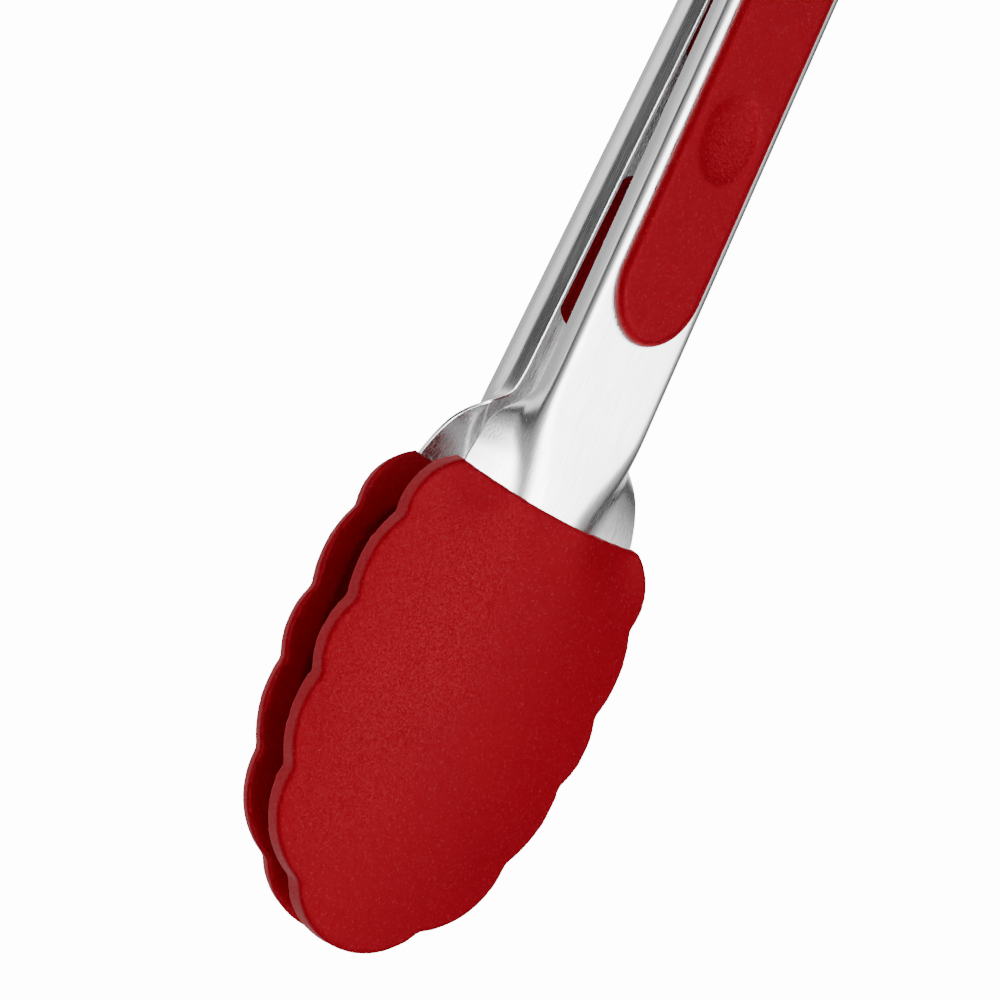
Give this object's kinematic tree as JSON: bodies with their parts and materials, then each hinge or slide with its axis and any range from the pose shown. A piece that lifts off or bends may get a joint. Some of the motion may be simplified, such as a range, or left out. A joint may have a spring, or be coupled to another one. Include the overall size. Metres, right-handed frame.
{
  "type": "spring loaded kitchen tongs",
  "caption": "Steel channel tongs with scalloped silicone heads and grips, sprung riveted hinge and a pull-tab lock.",
  "frame": {"origin": "middle of the underside of the bounding box, tongs nearly shut, taken as locked, and lying on the lower arm", "axes": "+X from the hanging hole to the head tips, +Z from the lower arm to the upper arm, hinge pin along Y"},
  "size_m": [0.2598, 0.0502, 0.0312],
  "materials": {
    "steel_arm": "brushed along the arm",
    "strap_steel": "satin",
    "rivet_steel": "polished",
    "spring_wire": "bright",
    "silicone": "matt red"
  },
  "bodies": {
    "lower_half": {"lower_arm": "steel_arm", "lower_head": "silicone", "lower_grip": "silicone", "pivot_pin": "rivet_steel", "pivot_sleeve": "rivet_steel", "torsion_spring": "spring_wire"},
    "upper_half": {"upper_arm": "steel_arm", "upper_head": "silicone", "upper_grip": "silicone"},
    "lock": {"lock_yoke": "strap_steel", "lock_bar": "rivet_steel", "tab_cover": "silicone"}
  },
  "joints": [
    {"name": "arm_open", "type": "hinge", "parent": "lower_half", "child": "upper_half", "pos_m": [-0.09292, 0, 0.01559], "axis": [0, -1, 0], "range_deg": [-2.3, 20], "deforming": ["torsion_spring"]},
    {"name": "lock_slide", "type": "slide", "parent": "lower_half", "child": "lock", "axis": [1, 0, 0], "range_m": [-0.00095, 0.0081]}
  ],
  "couplings": [
    {"joint": "lock_slide", "follows": "arm_open", "m_per_rad": 0.022918}
  ]
}
